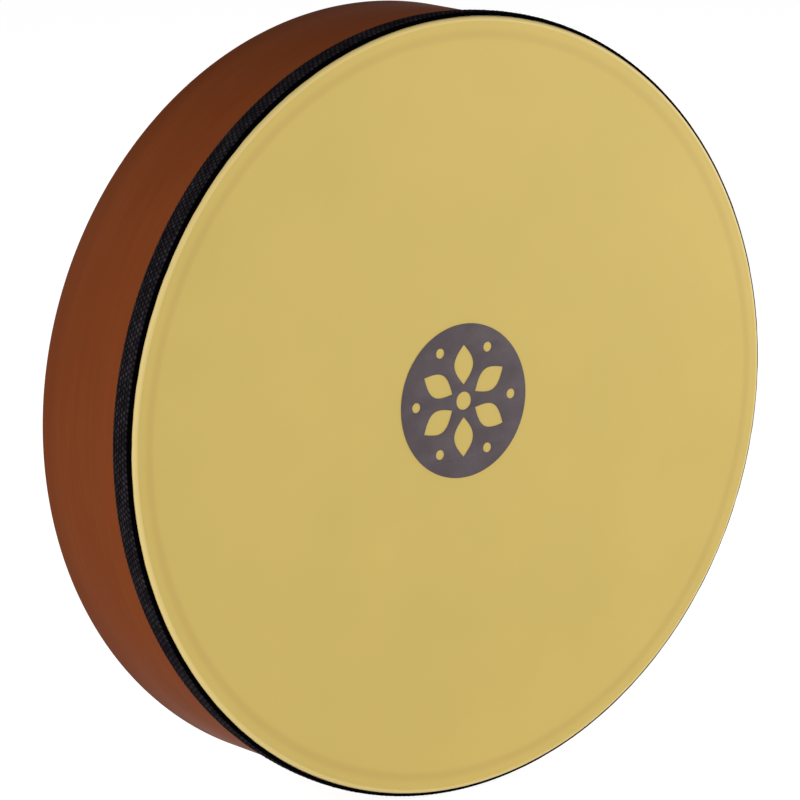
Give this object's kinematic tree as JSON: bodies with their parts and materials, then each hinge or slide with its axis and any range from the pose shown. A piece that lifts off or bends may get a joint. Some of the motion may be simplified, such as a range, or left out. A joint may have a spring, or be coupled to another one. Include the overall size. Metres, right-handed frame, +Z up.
{
  "type": "frame drum",
  "caption": "Shallow round frame drum with a fixed flat head, laminated bent-wood shell, woven edge band and open back.",
  "frame": {"origin": "on the ground, under the middle of the drum as it stands on its edge", "axes": "+Y along the drum's axis towards its open back, -Y out of the playing face, +Z up"},
  "size_m": [0.3614, 0.074, 0.3615],
  "materials": {
    "stained_veneer": "satin",
    "cross_veneer": "sanded",
    "core_veneer": "sanded",
    "inner_veneer": "satin",
    "glue": "translucent",
    "head_film": "matte",
    "woven_band": "ribbed weave",
    "ink": "matte print"
  },
  "bodies": {
    "root": {"outer_face_ply": "stained_veneer", "outer_cross_ply": "cross_veneer", "core_ply": "core_veneer", "inner_cross_ply": "cross_veneer", "inner_face_ply": "inner_veneer", "head_adhesive": "glue", "head_film": "head_film", "band_adhesive": "glue", "woven_band": "woven_band", "printed_emblem": "ink"}
  },
  "joints": []
}
